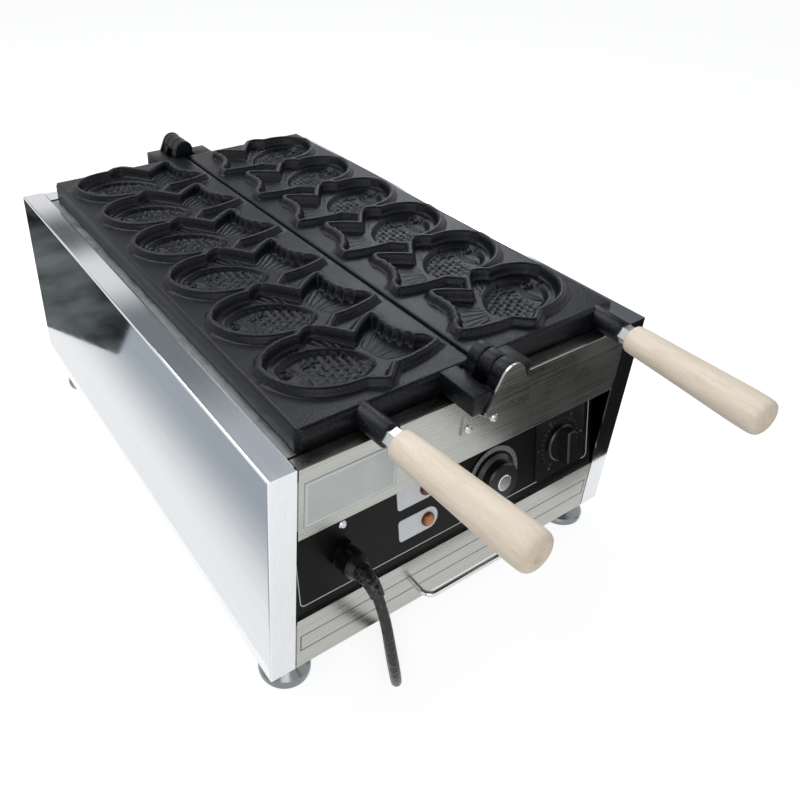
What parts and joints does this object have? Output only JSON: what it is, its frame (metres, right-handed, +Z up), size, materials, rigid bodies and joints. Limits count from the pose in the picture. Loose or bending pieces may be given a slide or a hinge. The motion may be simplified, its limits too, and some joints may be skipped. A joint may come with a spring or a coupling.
{
  "type": "fish waffle maker",
  "caption": "Countertop fish-waffle maker with two cast mould plates that lie open like a book and fold onto each other, in a stainless housing on feet.",
  "frame": {"origin": "on the table, under the middle of the box round the machine without its lead", "axes": "+X to the right as seen by the cook, +Y from the handles to the back, +Z up"},
  "size_m": [0.45, 0.9505, 0.3215],
  "materials": {
    "brushed_stainless": "brushed",
    "polished_stainless": "polished",
    "galvanised_sheet": "mill",
    "element_sheath": "matte",
    "nonstick_aluminium": "satin",
    "beech": "sanded",
    "zinc_steel": "satin",
    "chrome": "polished",
    "painted_panel": "satin",
    "black_plastic": "moulded",
    "satin_aluminium": "satin",
    "switch_plastic": "moulded",
    "white_label": "matte",
    "amber_lens": "clear",
    "black_rubber": "satin",
    "tie_strap": "woven"
  },
  "bodies": {
    "housing": {"side_panel_right": "polished_stainless", "side_panel_left": "polished_stainless", "base_pan": "galvanised_sheet", "back_panel": "brushed_stainless", "front_apron": "brushed_stainless", "front_frame": "brushed_stainless", "control_panel": "painted_panel", "foot_front_left": "chrome", "foot_rear_left": "chrome", "foot_front_right": "chrome", "foot_rear_right": "chrome", "heat_well": "galvanised_sheet", "element_right": "element_sheath", "element_left": "element_sheath", "element_support_front": "galvanised_sheet", "element_support_rear": "galvanised_sheet", "plate_rest_right": "galvanised_sheet", "plate_rest_left": "galvanised_sheet", "hinge_bracket_front": "brushed_stainless", "hinge_bracket_rear": "brushed_stainless", "hinge_pin_front": "zinc_steel", "hinge_pin_rear": "zinc_steel", "bracket_screws_front": "zinc_steel", "bracket_screws_rear": "zinc_steel", "drawer_runner_right": "galvanised_sheet", "drawer_runner_left": "galvanised_sheet", "thermostat_dial": "satin_aluminium", "thermostat_body": "switch_plastic", "timer_dial": "black_plastic", "timer_body": "switch_plastic", "label_plate_upper": "white_label", "pilot_lamp_upper": "amber_lens", "label_plate_lower": "white_label", "pilot_lamp_lower": "amber_lens", "panel_screw": "zinc_steel", "rating_plate": "white_label", "cable_gland": "black_plastic", "terminal_block": "switch_plastic", "strain_relief": "black_rubber", "mains_lead": "black_rubber", "lead_coil": "black_rubber", "coil_tie": "tie_strap", "mains_plug": "black_rubber"},
    "left_plate": {"plate_left": "nonstick_aluminium", "hinge_ears_left": "nonstick_aluminium", "handle_rod_left": "zinc_steel", "handle_nut_left": "zinc_steel", "grip_left": "beech"},
    "right_plate": {"plate_right": "nonstick_aluminium", "hinge_ears_right": "nonstick_aluminium", "handle_rod_right": "zinc_steel", "handle_nut_right": "zinc_steel", "grip_right": "beech"},
    "drawer": {"drip_drawer": "brushed_stainless", "drawer_handle": "chrome"},
    "thermostat_control": {"thermostat_knob": "black_plastic", "thermostat_cap": "satin_aluminium", "thermostat_shaft": "zinc_steel"},
    "timer_control": {"timer_knob": "black_plastic", "timer_shaft": "zinc_steel"}
  },
  "joints": [
    {"name": "left_plate_hinge", "type": "hinge", "parent": "housing", "child": "left_plate", "pos_m": [0, 0.0692, 0.308], "axis": [0, 1, 0], "range_deg": [0, 180]},
    {"name": "right_plate_hinge", "type": "hinge", "parent": "housing", "child": "right_plate", "pos_m": [0, 0.0692, 0.308], "axis": [0, -1, 0], "range_deg": [0, 180]},
    {"name": "drawer_slide", "type": "slide", "parent": "housing", "child": "drawer", "axis": [0, -1, 0], "range_m": [0, 0.45], "deforming": ["mains_lead"]},
    {"name": "thermostat_turn", "type": "hinge", "parent": "housing", "child": "thermostat_control", "pos_m": [0.047, -0.22972, 0.14019], "axis": [0, 0.9824, -0.1867], "range_deg": [0, 270]},
    {"name": "timer_turn", "type": "hinge", "parent": "housing", "child": "timer_control", "pos_m": [0.145, -0.22953, 0.14117], "axis": [0, 0.9824, -0.1867], "range_deg": [0, 300]}
  ]
}
